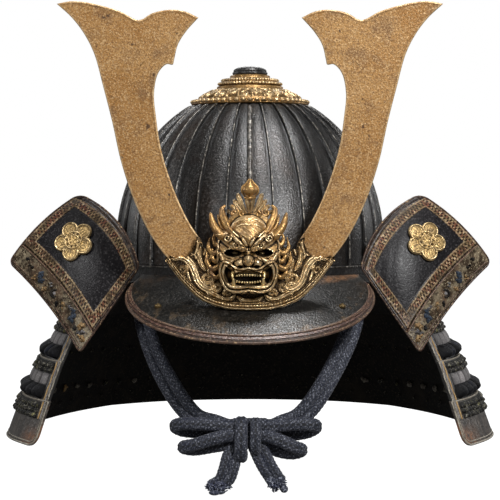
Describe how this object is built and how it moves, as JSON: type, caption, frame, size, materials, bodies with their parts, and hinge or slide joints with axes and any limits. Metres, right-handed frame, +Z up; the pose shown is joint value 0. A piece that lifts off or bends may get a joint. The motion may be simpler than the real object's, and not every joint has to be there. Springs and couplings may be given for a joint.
{
  "type": "kabuto helmet",
  "caption": "Samurai helmet: ribbed iron bowl with crown fitting, curved brim, forked horns and ogre-mask crest, side turnbacks, lamed neck guard and tied chin cord.",
  "frame": {"origin": "centre of the bowl's mouth at the wearer's brow line, where a head would hold the helmet up", "axes": "+Z up through the crown fitting; the wearer faces -Y; +X towards the wearer's left, on the right of a front view"},
  "size_m": [0.4278, 0.4088, 0.4021],
  "materials": {
    "iron": "satin, dark, with worn rib edges",
    "gilt": "old gilt, darkened in the hollows",
    "bronze": "mottled old gilt bronze",
    "brim_leather": "dark, rubbed",
    "smoked_leather": "dark with a printed border",
    "lacquer": "black lacquer",
    "lacing": "braided silk",
    "cord": "navy braid"
  },
  "bodies": {
    "root": {"bowl": "iron", "bowl_band": "iron", "front_spine": "bronze", "crown_base": "gilt", "crown_collar": "gilt", "crown_cap": "iron", "brim": "brim_leather", "brim_edge": "brim_leather", "brim_rivet_right": "gilt", "brim_rivet_left": "gilt", "crest_base": "gilt", "crest_mask": "gilt", "crest_palmette": "gilt", "horn_right": "bronze", "horn_left": "bronze", "turnback_left": "smoked_leather", "turnback_right": "smoked_leather", "turnback_flower_left": "gilt", "turnback_flower_right": "gilt", "neck_lame_1": "lacquer", "neck_lame_2": "lacquer", "neck_lame_3": "lacquer", "neck_lame_4": "lacquer", "lacing_row_1": "lacing", "lacing_row_2": "lacing", "lacing_row_3": "lacing", "chin_cord_left_outer": "cord", "chin_cord_left_inner": "cord", "chin_cord_right_outer": "cord", "chin_cord_right_inner": "cord", "chin_cord_bow": "cord"}
  },
  "joints": []
}
